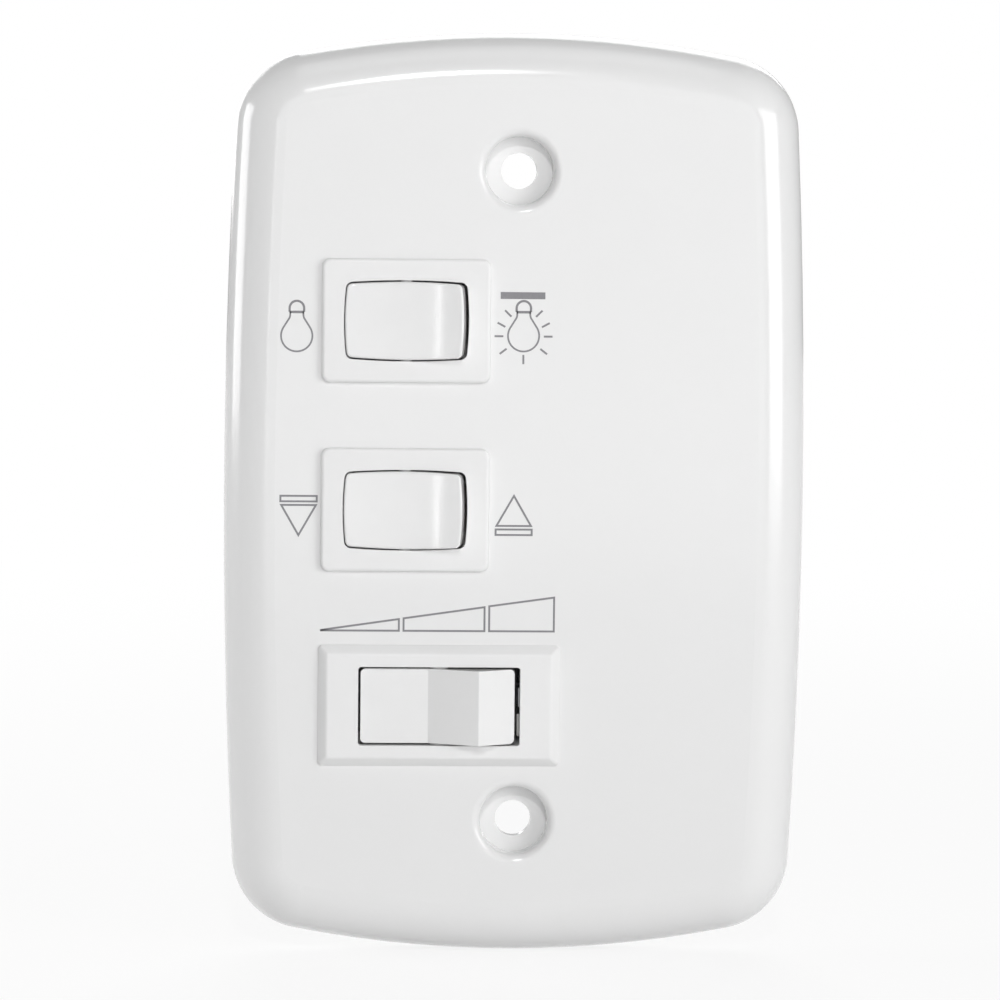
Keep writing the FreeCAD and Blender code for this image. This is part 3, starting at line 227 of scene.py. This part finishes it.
surface = white_table.tree.nodes["Material Output"].inputs["Surface"]
white_table.tree.links.new(shown.socket, surface)
table_top.materials.append(white_table.material)


# Faceplate: one injection moulding of glossy white plastic with a rounded rim. Its
# polish keeps a faint waviness from the mould, and its colour is a neutral white.
polished = Finish("polished_white_moulding", IOR=1.5)
plate_white = (0.805, 0.805, 0.805, 1)
plate_shade = (0.79, 0.79, 0.79, 1)
clouding = polished.grain(9 * MM, 3.0)
speckle = polished.grain(0.22 * MM, 1.0)
polished.feed(
    Base_Color=polished.mix(clouding * 0.6 + speckle * 0.4, plate_shade, plate_white),
    Roughness=0.10 + clouding * 0.06 + speckle * 0.03,
    Normal=polished.relief(
        polished.grain(2.4 * MM, 2.0),
        0.0035 * MM,
        polished.relief(speckle, 0.0012 * MM),
    ),
)


def dress(finish, *nodes):
    """Gives CAD nodes a finish."""
    for node in nodes:
        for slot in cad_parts[node].material_slots:
            slot.material = finish.material


dress(polished, "faceplate")

# Signs: thin screen print in grey ink on the plate, beside and above what they explain.
# A lamp off and a lamp lit under its ceiling, air pushed down and up, three speeds.
ink_line = 0.25 * MM
ink_thickness = 0.014 * MM
ink_bite = 0.006 * MM
sharpest_lean = 0.35
plate_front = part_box("faceplate")[0].y

ink = Finish("screen_ink", IOR=1.5)
ink_dense = (0.205, 0.202, 0.216, 1)
ink_thin = (0.25, 0.247, 0.26, 1)
cover = ink.grain(0.35 * MM, 3.0)
ink.feed(
    Base_Color=ink.mix(cover, ink_dense, ink_thin),
    Roughness=0.35 + cover * 0.2,
    Normal=ink.relief(cover, 0.003 * MM),
)


def printed(name, lines):
    """A sign of flat ink lines. Each line is its points, its width and whether it closes."""
    mesh = bmesh.new()
    for points, width, closed in lines:
        path = [Vector(p) for p in points]
        count = len(path)
        edges = []
        for i, point in enumerate(path):
            before = path[i - 1] if closed or i > 0 else point
            after = path[(i + 1) % count] if closed or i < count - 1 else point
            come = point - before if point != before else after - point
            go = after - point if after != point else come
            come, go = come.normalized(), go.normalized()
            across = Vector((-come.y - go.y, come.x + go.x)).normalized()
            lean = max(across.dot(Vector((-come.y, come.x))), sharpest_lean)
            reach = across * (width / 2 / lean)
            edges.append((point + reach, point - reach))
        rings = []
        for left, right in edges:
            low, high = plate_front + ink_bite, plate_front - ink_thickness
            corners = ((left, low), (right, low), (right, high), (left, high))
            rings.append([mesh.verts.new((p.x, y, p.y)) for p, y in corners])
        runs = count if closed else count - 1
        for i in range(runs):
            first, second = rings[i], rings[(i + 1) % count]
            for side in range(4):
                turn = (side + 1) % 4
                mesh.faces.new((first[side], second[side], second[turn], first[turn]))
        if not closed:
            mesh.faces.new(rings[0])
            mesh.faces.new(rings[-1][::-1])
    bmesh.ops.recalc_face_normals(mesh, faces=mesh.faces)
    data = bpy.data.meshes.new(name)
    mesh.to_mesh(data)
    mesh.free()
    data.materials.append(ink.material)
    sign = bpy.data.objects.new(name, data)
    scene.collection.objects.link(sign)
    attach(sign, "frame")


def arc(centre, radius, start, end, steps):
    """Points along an arc, between two angles in degrees."""
    points = []
    for i in range(steps + 1):
        angle = math.radians(start + (end - start) * i / steps)
        across, rise = radius * math.cos(angle), radius * math.sin(angle)
        points.append((centre[0] + across, centre[1] + rise))
    return points


def bulb(x, z):
    """A lamp with its cap upwards, standing in z on the middle of its round glass."""
    glass, cap_half, cap_foot, cap_side = 1.99 * MM, 0.92 * MM, 3.04 * MM, 3.51 * MM
    shoulder = 33
    outline = arc((x, z), glass, 180 - shoulder, 360 + shoulder, 44)
    neck = [(0.9184 * MM, 2.27 * MM), (0.8364 * MM, 2.55 * MM), (0.82 * MM, cap_foot)]
    left_neck = [(x - across, z + rise) for across, rise in reversed(neck)]
    right_neck = [(x + across, z + rise) for across, rise in neck]
    cap = [(x + cap_half, z + cap_foot)]
    cap += arc((x, z + cap_side), cap_half, 0, 180, 16)
    cap.append((x - cap_half, z + cap_foot))
    foot = [(px, pz - ink_line * 0.1) for px, pz in (cap[-1], cap[0])]
    return [
        (left_neck + outline + right_neck, ink_line * 0.9, False),
        (cap, ink_line * 1.15, False),
        (foot, ink_line * 1.3, False),
    ]


printed("lamp_off_sign", bulb(-28.23 * MM, 20.43 * MM))

lit_x, lit_z = 0.63 * MM, 20.66 * MM
rays_lit = [((0, -2.42), (0, -3.6))]
for way in (-1, 1):
    rays_lit += [
        ((way * 2.15, -1.65), (way * 3.03, -2.32)),
        ((way * 2.58, -0.07), (way * 3.7, -0.07)),
        ((way * 2.33, 1.12), (way * 3.33, 1.66)),
        ((way * 1.57, 2.43), (way * 2.39, 3.24)),
    ]
lines_lit = []
for ends in rays_lit:
    line = [(lit_x + across * MM, lit_z + rise * MM) for across, rise in ends]
    lines_lit.append((line, ink_line, False))
ceiling = [(-2.34 * MM, 25.78 * MM), (3.36 * MM, 25.78 * MM)]
ceiling_line = 0.88 * MM
printed("lamp_on_sign", bulb(lit_x, lit_z) + lines_lit + [(ceiling, ceiling_line, False)])


def flow_sign(name, x, z, way):
    """A triangle that points the way the air goes, with a bar across its foot."""
    half, height = 2.21 * MM, 3.85 * MM
    bar_half, bar, gap = 2.31 * MM, 0.7 * MM, 0.46 * MM
    foot = z - height / 2 * way
    triangle = [(x - half, foot), (x + half, foot), (x, foot + height * way)]
    near, far = foot - gap * way, foot - (gap + bar) * way
    box = [(x - bar_half, near), (x + bar_half, near), (x + bar_half, far), (x - bar_half, far)]
    printed(name, [(triangle, ink_line, True), (box, ink_line, True)])


flow_sign("air_down_sign", -27.86 * MM, -3.04 * MM, -1)
flow_sign("air_up_sign", -0.38 * MM, -1.7 * MM, 1)

speed_foot = -17.15 * MM
speed_steps = [
    (-24.9 * MM, 0.06 * MM, -14.95 * MM, 1.5 * MM),
    (-14.35 * MM, 1.6 * MM, -4.0 * MM, 3.08 * MM),
    (-3.4 * MM, 3.2 * MM, 4.9 * MM, 4.36 * MM),
]
wedges = []
for left, low, right, high in speed_steps:
    wedge = [(left, speed_foot), (right, speed_foot), (right, speed_foot + high)]
    wedge.append((left, speed_foot + low))
    wedges.append((wedge, ink_line, True))
printed("speed_sign", wedges)

# Switch housings: the two rocker modules and the speed module, moulded in the same
# white with a finer, flatter face, clipped into the plate from the front.
satin = Finish("satin_white_moulding", IOR=1.48)
satin_white = (0.828, 0.828, 0.828, 1)
satin_shade = (0.80, 0.80, 0.80, 1)
fine = satin.grain(0.16 * MM, 2.0)
patches = satin.grain(4 * MM, 3.0)
satin.feed(
    Base_Color=satin.mix(patches * 0.7 + fine * 0.3, satin_shade, satin_white),
    Roughness=0.30 + patches * 0.08 + fine * 0.06,
    Normal=satin.relief(fine, 0.0018 * MM, satin.softened(0.12 * MM)),
)
dress(satin, "lamp_housing", "reversing_housing", "speed_housing")

# Rockers and paddle: moulded caps with a polished face that the finger presses, turning
# on two pins in their housing. Fingers leave a very slight unevenness in the gloss.
cap = Finish("rocker_moulding", IOR=1.5)
cap_white = (0.828, 0.828, 0.828, 1)
cap_shade = (0.804, 0.804, 0.804, 1)
smudge = cap.grain(3 * MM, 4.0)
flow = cap.grain(0.4 * MM, 2.0, along=(1, 1, 6))
cap.feed(
    Base_Color=cap.mix(smudge, cap_shade, cap_white),
    Roughness=0.07 + smudge * 0.04 + flow * 0.01,
    Normal=cap.relief(flow, 0.0012 * MM, cap.softened(0.1 * MM)),
)
dress(cap, "lamp_rocker", "reversing_rocker", "speed_paddle")

# Plungers and pusher: small turned-looking mouldings of natural acetal, slightly waxy.
acetal = Finish("natural_acetal", IOR=1.48)
milky = acetal.grain(0.8 * MM, 3.0)
acetal.feed(
    Base_Color=acetal.mix(milky, (0.72, 0.70, 0.63, 1), (0.80, 0.785, 0.73, 1)),
    Roughness=0.38 + milky * 0.12,
    Normal=acetal.relief(acetal.grain(0.12 * MM), 0.002 * MM),
)
dress(acetal, "lamp_plunger", "reversing_plunger", "speed_pusher")

# Springs: coiled from drawn steel wire, with the die's fine lines along it.
wire = Finish("drawn_spring_wire", Metallic=1.0)
drawn = wire.grain(0.05 * MM, 3.0, along=(1, 8, 1))
tempered = wire.grain(1.5 * MM, 2.0)
wire.feed(
    Base_Color=wire.mix(tempered, (0.48, 0.47, 0.46, 1), (0.66, 0.66, 0.67, 1)),
    Roughness=0.24 + drawn * 0.18,
    Normal=wire.relief(drawn, 0.002 * MM),
)
dress(wire, "lamp_spring", "reversing_spring", "speed_spring")

# Contact arms and bridge: stamped from copper alloy strip, rolled bright, with the
# warm tarnish that spreads from the cut edges.
copper = Finish("rolled_copper_strip", Metallic=1.0)
rolled = copper.grain(0.04 * MM, 2.0, along=(14, 1, 1))
tarnish = copper.grain(1.6 * MM, 5.0).between(0.42, 0.72)
copper.feed(
    Base_Color=copper.mix(tarnish, (0.83, 0.60, 0.45, 1), (0.60, 0.40, 0.27, 1)),
    Roughness=0.22 + rolled * 0.14 + tarnish * 0.12,
    Normal=copper.relief(rolled, 0.0015 * MM, copper.softened(0.06 * MM)),
)
dress(copper, "lamp_contact_arm", "reversing_contact_arm", "speed_contact_bridge")

# Contacts: silver alloy rivets headed onto the arms and terminals.
silver = Finish("silver_contact", Metallic=1.0)
dulled = silver.grain(0.5 * MM, 4.0).between(0.35, 0.75)
silver.feed(
    Base_Color=silver.mix(dulled, (0.88, 0.87, 0.84, 1), (0.66, 0.63, 0.57, 1)),
    Roughness=0.18 + dulled * 0.22,
    Normal=silver.relief(silver.grain(0.08 * MM), 0.0018 * MM),
)
dress(
    silver,
    "lamp_arm_contacts",
    "lamp_fixed_contacts",
    "reversing_arm_contacts",
    "reversing_fixed_contacts",
    "speed_contacts",
)

# Terminals: brass strip, blanked and bent. The blades that take the leads stand out of
# the back of each housing, with rolling lines along them and a few darker stains.
brass = Finish("blanked_brass", Metallic=1.0)
rolling = brass.grain(0.05 * MM, 2.0, along=(1, 16, 1))
stains = brass.grain(1.8 * MM, 5.0).between(0.48, 0.78)
brass.feed(
    Base_Color=brass.mix(stains, (0.86, 0.70, 0.38, 1), (0.62, 0.47, 0.22, 1)),
    Roughness=0.20 + rolling * 0.14 + stains * 0.15,
    Normal=brass.relief(rolling, 0.0018 * MM, brass.softened(0.08 * MM)),
)
dress(
    brass,
    "lamp_common_terminal",
    "lamp_load_terminal",
    "reversing_common_terminal",
    "reversing_forward_terminal",
    "reversing_reverse_terminal",
    "speed_low_terminal",
    "speed_medium_terminal",
    "speed_high_terminal",
)

# Detent leaf: blue-grey spring strip that drops into the paddle's notches.
leaf = Finish("spring_strip", Metallic=1.0)
brushed = leaf.grain(0.04 * MM, 2.0, along=(1, 1, 12))
leaf.feed(
    Base_Color=leaf.mix(leaf.grain(2 * MM), (0.56, 0.57, 0.60, 1), (0.70, 0.70, 0.71, 1)),
    Roughness=0.22 + brushed * 0.16,
    Normal=leaf.relief(brushed, 0.0015 * MM),
)
dress(leaf, "speed_detent_spring")

# Capacitor: a pale moulded case, filled to just below its rim with dark resin that has
# crept up its walls, and four tinned blades that stand in it. The speed switch's rail,
# which shows in the gap beside the paddle, is tinned in the same way.
case = Finish("capacitor_case_moulding", IOR=1.5)
case_grain = case.grain(0.2 * MM, 2.0)
case_patches = case.grain(6 * MM, 3.0)
case.feed(
    Base_Color=case.mix(case_patches, (0.74, 0.745, 0.74, 1), (0.79, 0.79, 0.785, 1)),
    Roughness=0.36 + case_grain * 0.1,
    Normal=case.relief(case_grain, 0.0025 * MM, case.softened(0.15 * MM)),
)
dress(case, "capacitor_case")

resin = Finish("potting_resin", IOR=1.55)
swell = resin.grain(3.5 * MM, 2.0)
dust = resin.grain(0.25 * MM, 4.0).between(0.62, 0.8)
resin.feed(
    Base_Color=resin.mix(dust * 0.5, (0.012, 0.012, 0.014, 1), (0.09, 0.09, 0.088, 1)),
    Roughness=0.14 + swell * 0.12 + dust * 0.3,
    Normal=resin.relief(swell, 0.12 * MM, resin.relief(dust, 0.004 * MM)),
)
dress(resin, "capacitor_potting")

tin = Finish("tinned_strip", Metallic=1.0)
tinned = tin.grain(0.6 * MM, 3.0)
tin.feed(
    Base_Color=tin.mix(tinned, (0.66, 0.655, 0.64, 1), (0.80, 0.795, 0.78, 1)),
    Roughness=0.24 + tinned * 0.18,
    Normal=tin.relief(tinned, 0.006 * MM, tin.softened(0.06 * MM)),
)
dress(tin, "capacitor_blades", "speed_common_terminal")
